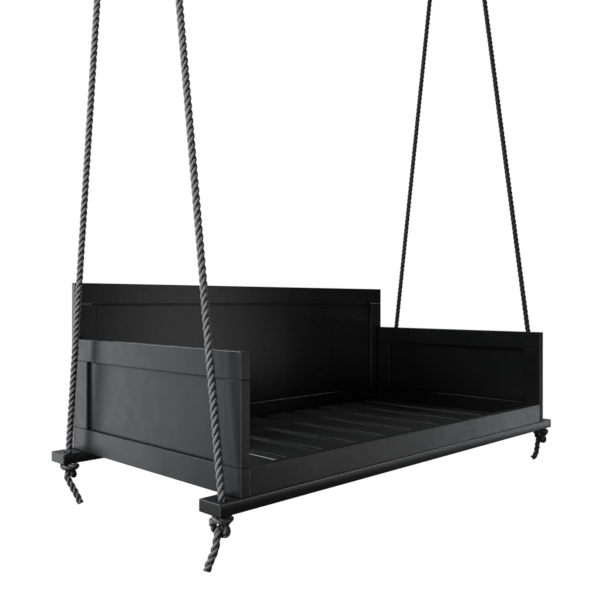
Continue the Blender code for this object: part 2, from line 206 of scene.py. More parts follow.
def painted_wood(name, axis, base=0.0062, rough=0.36, wear_and_highlight=0.45, corner=0.003, recess=True,
                 crown=0.0, relief=0.16, hollow=0.013, even=1.0):
    """Satin black paint over planed timber whose grain runs along one axis (0, 1 or 2).

    base: the paint's grey; wear: how far edges pale, as worn paint and as a painted highlight;
    corner: radius of the edges; recess: paint shade into corners within `hollow`;
    crown: rounding of upright faces; relief: depth of the grain; even: how much the roughness
    varies.
    """
    material, g, surface = new_material(name)
    coords = g.new("ShaderNodeTexCoord")
    info = g.new("ShaderNodeObjectInfo")
    # every board is shifted through the texture, so no two match
    shift = g.combine(*(g.math("MULTIPLY", info.outputs["Random"], 7.0 + 3 * k)
                        for k in range(3)))
    shift = g.vector("SCALE", shift, scale=1.0)
    place = g.vector("ADD", coords.outputs["Object"], shift)

    def drawn_out(squeeze):
        """Coordinates squeezed along the grain, which draws a pattern out along it."""
        scale = [1.0, 1.0, 1.0]
        scale[axis] = squeeze
        return g.stretched(place, scale)

    fine = g.noise(drawn_out(0.045), scale=420.0, detail=5.0, rough=0.62)
    growth = g.noise(drawn_out(0.08), scale=46.0, detail=3.0, rough=0.5, distortion=1.2)
    peel = g.noise(place, scale=900.0, detail=2.0, rough=0.5)
    cloud = g.noise(place, scale=5.5, detail=3.0, rough=0.5)
    patch = g.noise(place, scale=24.0, detail=4.0, rough=0.6)
    strokes = g.noise(drawn_out(0.02), scale=230.0, detail=2.0, rough=0.5)

    # edges: rounded normal against the true one
    geometry = g.new("ShaderNodeNewGeometry")
    rounded = g.new("ShaderNodeBevel", samples=6)
    rounded.inputs["Radius"].default_value = corner
    normal = rounded.outputs[0]
    agreement = g.vector("DOT_PRODUCT", normal, geometry.outputs["Normal"])
    edge = g.remap(agreement, over=(0.995, 0.86), to=(0.0, 1.0))
    edge = g.math("MULTIPLY", edge, g.remap(patch, over=(0.42, 0.62), to=(0.35, 1.0)))

    colour = g.ramp(cloud, [(0.30, grey(base * 0.80, (1, 1.0, 1.03))),
                            (0.70, grey(base * 1.22, (1.0, 1.01, 1.04)))])
    colour = g.mix(g.remap(growth, over=(0.35, 0.75), to=(0.0, 0.35)), colour, grey(base * 0.62))
    # edges paled towards grey: partly worn paint, partly a painted highlight along the rounded
    # edges
    colour = g.mix(g.math("MULTIPLY", edge, wear_and_highlight), colour, grey(base * 9.0))
    # painted shade: corners and recesses are darkened and lose the sheen
    bright = g.remap(g.openness(hollow), over=(0.35, 0.95), to=(0.0 if recess else 1.0, 1.0))
    colour = g.mix(bright, grey(base * 0.45), colour)
    g.put(surface["Base Color"], colour)

    roughness = g.remap(patch, over=(0.3, 0.7), to=(rough - 0.035 * even, rough + 0.045 * even))
    grain = g.remap(fine, over=(0.35, 0.7), to=(-0.02 * even, 0.03 * even))
    roughness = g.math("ADD", roughness, grain)
    roughness = g.math("SUBTRACT", roughness, g.math("MULTIPLY", edge, 0.05))
    g.put(surface["Roughness"], roughness)
    # the painted shade also lowers the shine in corners and recesses
    g.put(surface["Specular IOR Level"], g.remap(bright, over=(0.0, 1.0), to=(0.05, 0.5)))

    height = g.weighted((fine, 0.55), (growth, 0.45), (strokes, 0.5), (peel, 0.18))
    if crown:
        normal = crowned(g, coords, normal, crown)
    g.put(surface["Normal"], g.bump(height, strength=relief, distance=0.0006, normal=normal))
    return material


def rope_coordinates(g):
    """u: metres along the strand; v: across it, 0.5 at its crest."""
    uv = g.new("ShaderNodeUVMap", uv_map="rope")
    u, v = g.separate(uv.outputs[0])[:2]
    return u, v


def rope_material(name, base=0.33, hollow=0.016):
    """Three-strand rope, its yarns crossing each strand at its lay angle.

    base: the fibre's grey; hollow: reach of the shade in its corners.
    """
    material, g, surface = new_material(name)
    u, v = rope_coordinates(g)
    place = g.new("ShaderNodeTexCoord").outputs["Object"]
    wobble = g.noise(place, scale=60.0, detail=2.0, rough=0.5)
    # yarns across a strand, yarns per metre along it, and their waviness
    phase = g.weighted((v, 11.0), (u, 262.0), (wobble, 0.9))
    yarn = g.wave(phase)
    # filaments inside each yarn, fine across it and long along the strand
    along = g.combine(g.math("MULTIPLY", phase, 4.0), g.math("MULTIPLY", u, 60.0),
                      g.math("MULTIPLY", wobble, 3.0))
    filament = g.noise(along, scale=1.6, detail=3.0, rough=0.6)
    fuzz = g.noise(place, scale=1500.0, detail=2.0, rough=0.6)
    tone = g.noise(place, scale=14.0, detail=3.0, rough=0.6)

    colour = g.ramp(yarn, [(0.0, grey(base * 0.50, (1.0, 1.01, 1.03))),
                           (0.45, grey(base * 0.95, (0.99, 1.0, 1.04))),
                           (1.0, grey(base * 1.18, (0.985, 1.0, 1.05)))])
    colour = g.mix(g.remap(filament, over=(0.35, 0.7), to=(0.0, 0.45)),
                   colour, grey(base * 1.5, (0.99, 1.0, 1.04)))
    colour = g.mix(g.remap(tone, over=(0.35, 0.7), to=(0.0, 0.30)), colour, grey(base * 0.6))
    # painted shade in the grooves between the strands
    from_crest = g.math("ABSOLUTE", g.math("SUBTRACT", v, 0.5))
    groove_shade = g.remap(from_crest, over=(0.24, 0.36), to=(0.0, 1.0))
    colour = g.mix(g.math("MULTIPLY", groove_shade, 0.93), colour, grey(0.004))
    shade = g.remap(g.openness(hollow), over=(0.10, 0.90), to=(0.97, 0.0))
    colour = g.mix(shade, colour, grey(0.003))
    g.put(surface["Base Color"], colour)

    g.put(surface["Roughness"], g.remap(filament, over=(0.3, 0.7), to=(0.60, 0.82)))
    # the painted shade also takes the shine and sheen out of the grooves
    g.put(surface["Specular IOR Level"], g.remap(groove_shade, over=(0.0, 1.0), to=(0.35, 0.02)))
    g.put(surface["Sheen Weight"], g.remap(groove_shade, over=(0.0, 1.0), to=(0.12, 0.0)))
    g.put(surface["Sheen Roughness"], 0.5)
    height = g.weighted((yarn, 1.0), (filament, 0.5), (fuzz, 0.15))
    g.put(surface["Normal"], g.bump(height, strength=0.75, distance=0.0005))
    return material


def zinc_material(name):
    """Spangled zinc plate with dirt and fine scratches."""
    base, rough = 0.40, 0.36     # its grey and its middling roughness
    material, g, surface = new_material(name)
    place = g.new("ShaderNodeTexCoord").outputs["Object"]
    cells = g.new("ShaderNodeTexVoronoi")
    g.put(cells.inputs["Vector"], g.stretched(place, (1, 1, 1)))
    cells.inputs["Scale"].default_value = 160.0
    channels = g.new("ShaderNodeSeparateColor")
    g.put(channels.inputs[0], cells.outputs["Color"])
    spangle = channels.outputs[0]
    dirt = g.noise(place, scale=35.0, detail=5.0, rough=0.65)
    scratch = g.noise(g.stretched(place, (1, 1, 0.06)), scale=900.0, detail=3.0, rough=0.7)

    colour = g.ramp(spangle, [(0.0, grey(base, (0.86, 0.88, 0.92))),
                              (1.0, grey(base, (1.1, 1.11, 1.13)))])
    colour = g.mix(g.remap(dirt, over=(0.5, 0.75), to=(0.0, 0.5)),
                   colour, grey(base, (0.42, 0.42, 0.43)))
    g.put(surface["Base Color"], colour)
    g.put(surface["Metallic"], 1.0)
    roughness = g.remap(dirt, over=(0.3, 0.7), to=(rough - 0.06, rough + 0.16))
    roughness = g.math("ADD", roughness, g.remap(spangle, over=(0, 1), to=(-0.04, 0.04)))
    g.put(surface["Roughness"], roughness)
    height = g.weighted((scratch, 0.4), (dirt, 0.8))
    g.put(surface["Normal"], g.bump(height, strength=0.25, distance=0.0004))
    return material


def twine_material(name):
    """Dark waxed twine with slanting plies."""
    material, g, surface = new_material(name)
    u, v = rope_coordinates(g)
    # plies round the twine, plies per metre along it
    ply = g.wave(g.weighted((v, 3.0), (u, 240.0)))
    place = g.new("ShaderNodeTexCoord").outputs["Object"]
    fuzz = g.noise(place, scale=1800.0, detail=3.0, rough=0.6)
    colour = g.ramp(ply, [(0.0, grey(0.010)), (1.0, grey(0.034, (1, 1, 1.03)))])
    colour = g.mix(g.remap(fuzz, over=(0.45, 0.7), to=(0.0, 0.4)), colour, grey(0.06))
    g.put(surface["Base Color"], colour)
    g.put(surface["Roughness"], 0.62)
    g.put(surface["Specular IOR Level"], 0.4)
    height = g.math("ADD", ply, g.math("MULTIPLY", fuzz, 0.4))
    g.put(surface["Normal"], g.bump(height, strength=0.7, distance=0.0004))
    return material


# the smoother, glossier finish of the back, its painted shade reaching further into the recesses
SMOOTH = dict(rough=0.28, wear_and_highlight=0.15, relief=0.02, hollow=0.020, even=0.3)

WOOD = [painted_wood("black_paint_grain_" + "xyz"[k], axis=k) for k in range(3)]
RUNNER = painted_wood("black_paint_runner", axis=0, corner=0.004, recess=False, crown=0.20)
BACK = [painted_wood("black_paint_back_" + "xyz"[k], axis=k, **SMOOTH) for k in range(3)]
SLAT = painted_wood("black_paint_deck", axis=1, base=0.0058, rough=0.44)
PANEL_X = painted_wood("black_paint_panel_long", axis=0, base=0.0060, **SMOOTH)
PANEL_Y = painted_wood("black_paint_panel_arm", axis=1, base=0.0060, rough=0.38)
ROPE = rope_material("charcoal_twisted_rope")
# a darker copy of the rope for the knots, with its shade reaching further: painted shade for their
# place in the runner's shadow
ROPE_KNOT_SHADED = rope_material("charcoal_twisted_rope_knot", base=0.255, hollow=0.032)
TWINE = twine_material("waxed_twine")
ZINC = zinc_material("zinc_plate")


# ------------------------------------------------------------------ CAD pieces
def finish_for(name):
    """The material of a CAD piece, or None if it has its own mesh later."""
    if name.startswith("slat_"):
        return SLAT
    if name == "back_panel":
        return PANEL_X
    if name.endswith("arm_panel"):
        return PANEL_Y
    if name.startswith("back_"):
        return BACK[2 if "stile" in name else 0]
    if "stile" in name:
        return WOOD[2]
    if "_arm_" in name:
        return WOOD[1]
    if "runner" in name:
        return RUNNER
    if "rail" in name:
        return WOOD[0]
    if name.startswith(("hanger", "pivot", "lag", "hanging", "thimble")):
        return ZINC
    return None


def dress(obj, material):
    obj.data.materials.clear()
    obj.data.materials.append(material)
    for polygon in obj.data.polygons:
        polygon.use_smooth = True
    weld = obj.modifiers.new("weld", "WELD")
    weld.merge_threshold = 0.00002
    split = obj.modifiers.new("sharp", "EDGE_SPLIT")     # a bore's rim stays crisp
    split.split_angle = radians(50)
    split.use_edge_sharp = False
    weighted = obj.modifiers.new("weighted", "WEIGHTED_NORMAL")
    weighted.mode = "FACE_AREA_WITH_ANGLE"
    weighted.weight = 80
    weighted.keep_sharp = False


for node_name, node in NODES.items():
    finish = finish_for(node_name)
    if finish:
        dress(node, finish)


# ------------------------------------------------------------------ lines in space
def distances(line):
    """Distance along a line at each of its points."""
    return np.r_[0, np.cumsum(np.linalg.norm(np.diff(line, axis=0), axis=1))]


def resample(line, step):
    """The same line in equal steps."""
    along = distances(line)
    count = max(2, int(round(along[-1] / step)))
    marks = np.linspace(0, along[-1], count + 1)
    return np.stack([np.interp(marks, along, line[:, k]) for k in range(3)], 1)


def smooth_line(line):
    line = line.copy()
    for _ in range(2):
        line[1:-1] = 0.25 * line[:-2] + 0.5 * line[1:-1] + 0.25 * line[2:]
    return line


def frames(line):
    """Tangents and a twist-free pair of normals along a line."""
    tangent = np.gradient(line, axis=0)
    tangent /= np.linalg.norm(tangent, axis=1)[:, None]
    normal = np.zeros_like(line)
    previous = np.array([1.0, 0, 0]) if abs(tangent[0][0]) < 0.9 else np.array([0, 1.0, 0])
    for i in range(len(line)):
        across = previous - tangent[i] * (previous @ tangent[i])
        normal[i] = across / np.linalg.norm(across)
        previous = normal[i]
    return tangent, normal, np.cross(tangent, normal)


def bezier(start, pull_start, pull_end, end, count=24):
    t = np.linspace(0, 1, count)[:, None]
    start, pull_start, pull_end, end = map(np.asarray, (start, pull_start, pull_end, end))
    return ((1 - t) ** 3 * start + 3 * (1 - t) ** 2 * t * pull_start
            + 3 * (1 - t) * t ** 2 * pull_end + t ** 3 * end)


# ------------------------------------------------------------------ tube meshes
class Tubes:
    """Vertices, faces and UVs of one or more closed tubes."""

    def __init__(self):
        self.verts, self.faces, self.uvs = [], [], []

    def skin(self, first, along, edges, tips, tip_edges):
        """Join the rings of vertices that begin at index first, and close both ends.

        along: u at each ring; edges: (v, next v) of each side; tips: the two end points."""
        sides = len(edges)
        for i in range(len(along) - 1):
            ring = first + i * sides
            for j, (v0, v1) in enumerate(edges):
                a0, a1 = ring + j, ring + (j + 1) % sides
                self.faces.append((a0, a1, a1 + sides, a0 + sides))
                self.uvs.append(((along[i], v0), (along[i], v1),
                                 (along[i + 1], v1), (along[i + 1], v0)))
        for i, tip in zip((0, len(along) - 1), tips):
            centre = len(self.verts)
            self.verts.append(tuple(tip))
            ring = first + i * sides
            for j, (v0, v1) in enumerate(tip_edges):
                a0, a1 = ring + j, ring + (j + 1) % sides
                self.faces.append((centre, a1, a0) if i == 0 else (centre, a0, a1))
                self.uvs.append(((along[i], 0.5), (along[i], v1), (along[i], v0)))

    def make(self, name, material):
        mesh = bpy.data.meshes.new(name)
        mesh.from_pydata(self.verts, [], self.faces)
        layer = mesh.uv_layers.new(name="rope")
        corners = [corner for face in self.uvs for corner in face]
        layer.data.foreach_set("uv", np.array(corners, np.float32).ravel())
        mesh.polygons.foreach_set("use_smooth", np.ones(len(mesh.polygons), bool))
        mesh.update()
        obj = bpy.data.objects.new(name, mesh)
        scene.collection.objects.link(obj)
        mesh.materials.append(material)
        return obj


# ------------------------------------------------------------------ laid rope
ROPE_R = 0.0130
PITCH = 0.076             # length of one full turn of a strand
RINGS_PER_TURN = 22
FIBRE_STRETCH = 1.16      # u along a strand for each metre of rope


def strand_profile():
    """One strand seen along the rope: a sector with rounded shoulders.

    Entries are (radius as a share of the rope's, angle, v)."""
    arc = [-58, -54, -48, -38, -24, -8, 8, 24, 38, 48, 54, 58]
    rim = [(cos(radians(f)) ** 0.68, radians(f), 0.5 + 0.36 * f / 60.0) for f in arc]
    core = [(0.34, radians(55), 0.93), (0.10, radians(40), 0.97),
            (0.10, radians(-40), 0.03), (0.34, radians(-55), 0.07)]
    return rim + core


STRAND = strand_profile()
STRAND_EDGES = [(STRAND[j][2], STRAND[(j + 1) % len(STRAND)][2]) for j in range(len(STRAND))]


def twisted_rope(name, line, material, phase, seed, flare=0.0, tied=0.0, pinch=0.0):
    """Three strands laid right-handed round a line, one closed body for each strand.

    flare: widening at the far end; pinch: thinning over the first `tied` metres."""
    step = PITCH / RINGS_PER_TURN
    path = resample(smooth_line(resample(line, step)), step)
    tangent, normal, binormal = frames(path)
    along = distances(path)
    length = along[-1]
    rng = np.random.default_rng(seed)

    def drift(spacing, amount):
        """Random values at even spacing, joined up along the rope."""
        count = max(4, int(length / spacing))
        return np.interp(along, np.linspace(0, length, count), rng.normal(0, amount, count))

    loose = 1.0 + flare * np.clip(1 - (length - along) / 0.018, 0, 1) ** 2
    if pinch:
        # drawn thinner where it is knotted
        tight_start = np.clip(along / 0.03, 0, 1)
        tight_end = np.clip((tied + 0.012 - along) / 0.024, 0, 1)
        loose = loose * (1.0 - pinch * tight_start * tight_end)

    tubes = Tubes()
    for k in range(3):
        wander = drift(spacing=0.05, amount=0.025)
        swell = 1.0 + drift(spacing=0.03, amount=0.010)
        turn = 2 * pi * along / PITCH + 2 * pi * k / 3 + phase + wander

        def outward(i, angle):
            return cos(angle) * normal[i] + sin(angle) * binormal[i]

        first = len(tubes.verts)
        for i in range(len(path)):
            for share, angle, _ in STRAND:
                radius = share * ROPE_R * (swell[i] if share > 0.5 else 1.0) * loose[i]
                tubes.verts.append(tuple(path[i] + radius * outward(i, turn[i] + angle)))
        tips = [path[i] + 0.5 * ROPE_R * outward(i, turn[i]) + way * tangent[i] * ROPE_R * 0.16
                for i, way in ((0, -1), (-1, 1))]
        slide = 0.37 * k + along * FIBRE_STRETCH
        tubes.skin(first, slide, STRAND_EDGES, tips, STRAND_EDGES)
    return tubes.make(name, material)


# ------------------------------------------------------------------ overhand stopper knot
KNOT_STEP = 0.0045        # spacing of points on the knot's line
TREFOIL_SCALE = 0.019
TREFOIL_DEPTH = 0.75      # its y against its x
GROW_ROUNDS = 260         # rounds in which the rope thickens to its full size
SETTLE_ROUNDS = 240
PRESS_ROUNDS = 150        # rounds in which it is drawn up to the board
TENSION = 0.45
MIN_BEND = 0.0158         # least bend radius of the rope's axis


def knot_span(line):
    """First and last point of the knot proper: where the rope lies against itself."""
    gaps = np.linalg.norm(line[:, None] - line[None], axis=2)
    index = np.arange(len(line))
    apart = np.abs(index[:, None] - index[None, :]) * KNOT_STEP
    touch = np.where(((apart > 0.05) & (gaps < 0.0285)).any(1))[0]
    return touch.min(), touch.max()


def loose_trefoil():
    """An open trefoil with its ends led straight up and down."""
    t = np.linspace(-1.95, 1.95, 300)
    loop = np.stack([(t ** 4 - 4 * t ** 2 + 2.0),
                     (t ** 5 / 5 - 2 * t) * TREFOIL_DEPTH,
                     -(t ** 3 - 3 * t)], 1) * TREFOIL_SCALE
    top = loop[:, 2].max()

    def ease(start, end):
        w = np.linspace(0, 1, 12)[:, None]
        sideways = w * w * (3 - 2 * w)
        line = start * (1 - w) + end * w
        line[:, :2] = (start * (1 - sideways) + end * sideways)[:, :2]
        return line

    above = np.array([0, 0, top + 0.05])
    below = np.array([0, 0, -top - 0.05])
    return resample(np.vstack([
        np.linspace([0, 0, top + 0.16], above, 12),
        ease(above, loop[0])[1:-1],
        loop,
        ease(loop[-1], below)[1:],
        np.linspace(below, [0, 0, -top - 0.22], 20)[1:]]), KNOT_STEP)


def relax(line, thickness, board):
    """Pull the line shorter while it keeps its thickness and its least bend.

    board: keep the knot under z = 0, with the rope above led through the hole."""
    count = len(line)
    index = np.arange(count)
    start, end = line[0].copy(), line[-1].copy()
    pull = np.zeros_like(line)
    pull[1:-1] = 0.5 * (line[:-2] + line[2:]) - line[1:-1]
    line = line + TENSION * pull
    apart = np.abs(index[:, None] - index[None, :]) * KNOT_STEP
    # only points at least a half turn apart may push on each other
    half_turn = pi * 0.5 * max(thickness, 2 * MIN_BEND * 0.9) * 1.05
    one, two = np.where(np.triu(apart > half_turn))
    for _ in range(5):
        between = line[one] - line[two]
        gap = np.sqrt((between ** 2).sum(1)) + 1e-12
        hit = gap < thickness
        if hit.any():
            push = ((thickness - gap[hit]) / gap[hit] * 0.5)[:, None] * between[hit]
            moves = np.zeros_like(line)
            np.add.at(moves, one[hit], push)
            np.add.at(moves, two[hit], -push)
            hits = np.zeros(count)
            np.add.at(hits, one[hit], 1)
            np.add.at(hits, two[hit], 1)
            line = line + moves / np.maximum(hits, 1)[:, None] ** 0.8
        for k in (3, 5):
            # a chord over k steps is no shorter than on the tightest bend
            least = 2 * MIN_BEND * sin(min(k * KNOT_STEP / (2 * MIN_BEND), pi / 2))
            chord = line[k:] - line[:-k]
            size = np.linalg.norm(chord, axis=1)[:, None]
            spread = np.where(size < least,
                              0.2 * (least - size) / np.maximum(size, 1e-9), 0) * chord
            line[k:] += spread
            line[:-k] -= spread
        if board:
            in_hole = (line[:, 2] > -0.001) & (index < count * 0.4)
            line[in_hole, :2] *= 0.4
            under = int(np.argmax(line[:, 2] < -ROPE_R))
            too_high = (index > under + 2) & (line[:, 2] > -ROPE_R)
            line[too_high, 2] = -ROPE_R
        line[0], line[-1] = start, end
    return resample(line, KNOT_STEP)


def overhand(thickness, lift):
    """Centre line of an overhand knot, drawn tight and then up to the board (z = 0).

    lift: how far each pressing round raises it."""
    line = loose_trefoil()
    for i in range(GROW_ROUNDS + SETTLE_ROUNDS):
        line = relax(line, thickness * min(1.0, 0.34 + 0.66 * i / GROW_ROUNDS), board=False)
    first, last = knot_span(line)
    line[:, 2] -= line[first:last + 1, 2].max() + ROPE_R - 0.004
    for _ in range(PRESS_ROUNDS):
        line = relax(line, thickness, board=True)
        line[1:-1, 2] += lift
    return smooth_line(line)


KNOT_LINES = {
    "hanging": overhand(thickness=0.0262, lift=0.0002),    # a gap still shows through it
    "jammed": overhand(thickness=0.0248, lift=0.0003),     # drawn flat against the board
}


def turned(line, angle):
    """The line turned about z."""
    c, s = cos(angle), sin(angle)
    x, y, z = line.T
    return np.stack([c * x - s * y, s * x + c * y, z], 1)


def knot_line(hole, top_z, kind, turn, tail_end, slip=(0.0, 0.0), bend=0.35, cut=0,
              straight=0.0, end_way=None):
    """The knot under a hole, with its stub in the hole and its tail; also the tied length."""
    line = turned(KNOT_LINES[kind], turn)
    w = np.clip((0.004 - line[:, 2]) / 0.020, 0, 1)
    line[:, :2] += (w * w * (3 - 2 * w))[:, None] * np.array(slip)
    last = knot_span(line)[1]
    start = int(np.argmax(line[:, 2] < 0.0195))
    body = line[start:last + 4 - cut] + np.array([hole[0], hole[1], top_z])
    stub = np.array([[hole[0], hole[1], top_z + 0.0175]])
    body = np.vstack([stub, body[body[:, 2] < top_z + 0.0165]])
    tied = float(np.linalg.norm(np.diff(body, axis=0), axis=1).sum())

    leave = body[-1] - body[-4]
    leave /= np.linalg.norm(leave)
    end = np.array([hole[0] + tail_end[0], hole[1] + tail_end[1], tail_end[2]])
    gap = np.linalg.norm(end - body[-1])
    aim = (end - body[-1]) / gap
    end_way = aim * 0.75 + np.array([0, 0, -0.25]) if end_way is None else np.array(end_way)
    end_way = end_way / np.linalg.norm(end_way)
    leave = leave * (1 - straight) + aim * straight
    tail = bezier(body[-1], body[-1] + leave * gap * bend, end - end_way * gap * 0.35, end,
                  count=30)
    return np.vstack([body, tail[1:]]), tied


# ------------------------------------------------------------------ hanging rope and seizing
EYE_ROPE_R = 0.0335       # from the eye's centre to the rope's axis
RETURN_GAP = 0.0274       # between the axes of the rope and its returned end
# distances down from the eye's centre
THROAT_DROP = 0.150
RETURN_DROP = 0.255       # foot of the returned end
SEIZING_DROP = 0.195

SEIZING_HEIGHT = 0.044
TWINE_R = 0.0017
TWINE_CLEARANCE = 0.0002
TWINE_STEPS = 40          # points in one turn of the winding
TWINE_SIDES = 6


def rope_line(length):
    """Up from the runner, round the eye and a short way back down, in the xz plane."""
    throat = length - THROAT_DROP

    def at(x, z):
        return np.array([x, 0.0, z])

    a = np.linspace(pi, 0, 30)[1:]
    over_eye = np.stack([EYE_ROPE_R * np.cos(a), 0 * a, length + EYE_ROPE_R * np.sin(a)], 1)
    return np.vstack([
        np.linspace(at(0, 0.0012), at(0, throat), 60),
        bezier(at(0, throat), at(0, length - 0.092),
               at(-EYE_ROPE_R, length - 0.062), at(-EYE_ROPE_R, length))[1:],
        over_eye,
        bezier(at(EYE_ROPE_R, length), at(EYE_ROPE_R, length - 0.050),
               at(RETURN_GAP, length - 0.090), at(RETURN_GAP, throat))[1:],
        np.linspace(at(RETURN_GAP, throat), at(RETURN_GAP, length - RETURN_DROP), 10)[1:]])


def winding_point(s, r):
    """x, y at distance s round the two ropes: two straights joined by half circles."""
    if s < RETURN_GAP:
        return s, -r
    if s < RETURN_GAP + pi * r:
        a = -pi / 2 + (s - RETURN_GAP) / r
        return RETURN_GAP + r * cos(a), r * sin(a)
    if s < 2 * RETURN_GAP + pi * r:
        return RETURN_GAP - (s - RETURN_GAP - pi * r), r
    a = pi / 2 + (s - 2 * RETURN_GAP - pi * r) / r
    return r * cos(a), r * sin(a)


def seizing_coil(name):
    """Twine wound tightly round the rope and its returned end."""
    r = ROPE_R + TWINE_R + TWINE_CLEARANCE
    steps = int(SEIZING_HEIGHT / (2 * TWINE_R)) * TWINE_STEPS
    round_both = 2 * pi * r + 2 * RETURN_GAP
    rise = SEIZING_HEIGHT - 2 * TWINE_R
    line = []
    for i in range(steps + 1):
        x, y = winding_point((i / TWINE_STEPS) % 1.0 * round_both, r)
        line.append((x, y, -SEIZING_HEIGHT / 2 + TWINE_R + rise * i / steps))
    line = np.array(line)
    tangent, normal, binormal = frames(line)
    tubes = Tubes()
    for i in range(len(line)):
        for j in range(TWINE_SIDES):
            a = 2 * pi * j / TWINE_SIDES + pi
            out = cos(a) * normal[i] + sin(a) * binormal[i]
            tubes.verts.append(tuple(line[i] + TWINE_R * out))
    tubes.skin(0, distances(line),
               edges=[(j / TWINE_SIDES, (j + 1) / TWINE_SIDES) for j in range(TWINE_SIDES)],
               tips=[line[i] + way * tangent[i] * TWINE_R * 0.35 for i, way in ((0, -1), (-1, 1))],
               tip_edges=[(0.5, 0.5)] * TWINE_SIDES)
    return tubes.make(name, TWINE)


# ------------------------------------------------------------------ the four ropes
# turn: the knot's turn about its hole; slip: how far it sits off the hole's axis (x, y);
# tail_end: where the tail ends, x and y from the hole and z from the ground;
# bend: reach of the tail's first curve; cut: points dropped from the knot's end;
# straight: how directly the tail leaves; end_way: the direction of its last stretch
KNOTS = {
    "front_left": dict(kind="hanging", turn=radians(124), slip=(-0.0098, 0.0100),
                       tail_end=(-0.0337, 0.0318, 0.006)),
    "rear_left": dict(kind="jammed", turn=radians(103), tail_end=(0.034, -0.036, 0.015),
                      bend=0.30, cut=4, straight=0.9),
    "front_right": dict(kind="hanging", turn=radians(86), slip=(-0.0046, 0.0046),
                        tail_end=(-0.029, 0.027, 0.021), bend=0.55, cut=1,
                        end_way=(-0.53, 0.53, -0.60)),
    "rear_right": dict(kind="jammed", turn=radians(250), tail_end=(0.020, -0.026, 0.010),
                       bend=0.30, straight=0.3),
}
# share by which the knotted rope is drawn thinner
PINCH = {"front_left": 0.07, "rear_left": 0.0, "front_right": 0.03, "rear_right": 0.0}
# turn of the strands at each rope's foot
LAY_PHASE = {"front": 0.4, "rear": 1.7}


def joint_place(name):
    return next(j for j in frame["joints"] if j["name"] == name)["pos_m"]


PIVOT_Z = joint_place("seat_level")[2]
RUNNER_LOW = {end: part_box(end + "_runner")[0].z for end in ("front", "rear")}


def attach(obj, body, replaced):
    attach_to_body(obj, body)
    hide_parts(replaced)


def hang_rope(end, side):
    """One rope with its seizing and its knot."""
    name = end + "_" + side
    body = "ropes_" + side
    sign = -1 if side == "left" else 1
    x = joint_place("sway" if side == "left" else "sway_right_ropes")[0]
    eye_low, eye_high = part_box("thimble_" + name)
    eye = (eye_low + eye_high) / 2
    low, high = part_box("rope_" + name)
    # the rope's foot stands on the runner hole's axis, inward of the CAD rope's outer edge
    edge_y, inward = (low.y, 1) if end == "front" else (high.y, -1)
    first_lean = atan2(eye.y - edge_y, eye.z - PIVOT_Z)
    hole_y = edge_y + ROPE_R * cos(first_lean) * inward
    foot = Vector((x, hole_y, PIVOT_Z))
    run = eye - foot
    place = Matrix.Translation(foot) @ Matrix.Rotation(-atan2(run.y, run.z), 4, "X")

    rope = twisted_rope("twisted_rope_" + name, rope_line(run.length), ROPE,
                        phase=LAY_PHASE[end] + sign, seed=3 + len(name))
    rope.matrix_world = place
    attach(rope, body, "rope_" + name)

    coil = seizing_coil("wound_seizing_" + name)
    coil.matrix_world = place @ Matrix.Translation((0, 0, run.length - SEIZING_DROP))
    attach(coil, body, "seizing_" + name)

    line, tied = knot_line((x, hole_y), RUNNER_LOW[end], **KNOTS[name])
    # the knot takes the darker copy of the rope, which paints the runner's shade into it
    knot = twisted_rope("tied_knot_" + name, line, ROPE_KNOT_SHADED, phase=sign * 0.9,
                        seed=11 + len(name), flare=0.02, tied=tied, pinch=PINCH[name])
    attach(knot, "seat", "knot_" + name)


for side in ("left", "right"):
    for end in ("front", "rear"):
        hang_rope(end, side)

# ------------------------------------------------------------------ floor and world
FLOOR_Z = -0.22
FLOOR_SIZE = 60
WHITE = (1, 1, 1, 1)


def floor_material():
    """Plain white to the camera, and clear when looked at from beneath."""
    material, g, surface = new_material("pale_floor")
    g.put(surface["Base Color"], (0.9, 0.9, 0.9, 1))
    g.put(surface["Roughness"], 0.9)
    rays = g.new("ShaderNodeLightPath")
    glow = g.new("ShaderNodeEmission")
    g.put(glow.inputs["Color"], WHITE)
    g.put(glow.inputs["Strength"], 1.0)
    top = g.new("ShaderNodeMixShader")
    g.put(top.inputs[0], g.math("MULTIPLY", rays.outputs["Is Camera Ray"], 1.0))
    g.put(top.inputs[1], g.bsdf.outputs[0])
    g.put(top.inputs[2], glow.outputs[0])
    both = g.new("ShaderNodeMixShader")
    g.put(both.inputs[0], g.new("ShaderNodeNewGeometry").outputs["Backfacing"])
    g.put(both.inputs[1], top.outputs[0])
    g.put(both.inputs[2], g.new("ShaderNodeBsdfTransparent").outputs[0])
    g.put(g.output.inputs[0], both.outputs[0])
    return material


def build_floor():
    bpy.ops.mesh.primitive_plane_add(size=FLOOR_SIZE, location=(0, 0, FLOOR_Z))
    floor = bpy.context.object
    floor.name = "floor"
    floor.data.materials.append(floor_material())
    floor.visible_glossy = False
    floor.visible_diffuse = False


def build_world():
    """White behind everything, though it gives almost no light."""
    world = bpy.data.worlds.new("studio")
    scene.world = world
    world.use_nodes = True
    g = Graph(world.node_tree)
    output = g.new("ShaderNodeOutputWorld")
    rays = g.new("ShaderNodeLightPath")

    def background(strength):
        node = g.new("ShaderNodeBackground")
        g.put(node.inputs["Color"], WHITE)
        g.put(node.inputs["Strength"], strength)
        return node.outputs[0]

    seen = background(strength=1.0)
    lighting = background(strength=0.02)
    mixed = g.new("ShaderNodeMixShader")
    g.put(mixed.inputs[0], rays.outputs["Is Camera Ray"])
    g.put(mixed.inputs[1], lighting)
    g.put(mixed.inputs[2], seen)
    g.put(output.inputs[0], mixed.outputs[0])


build_floor()
build_world()


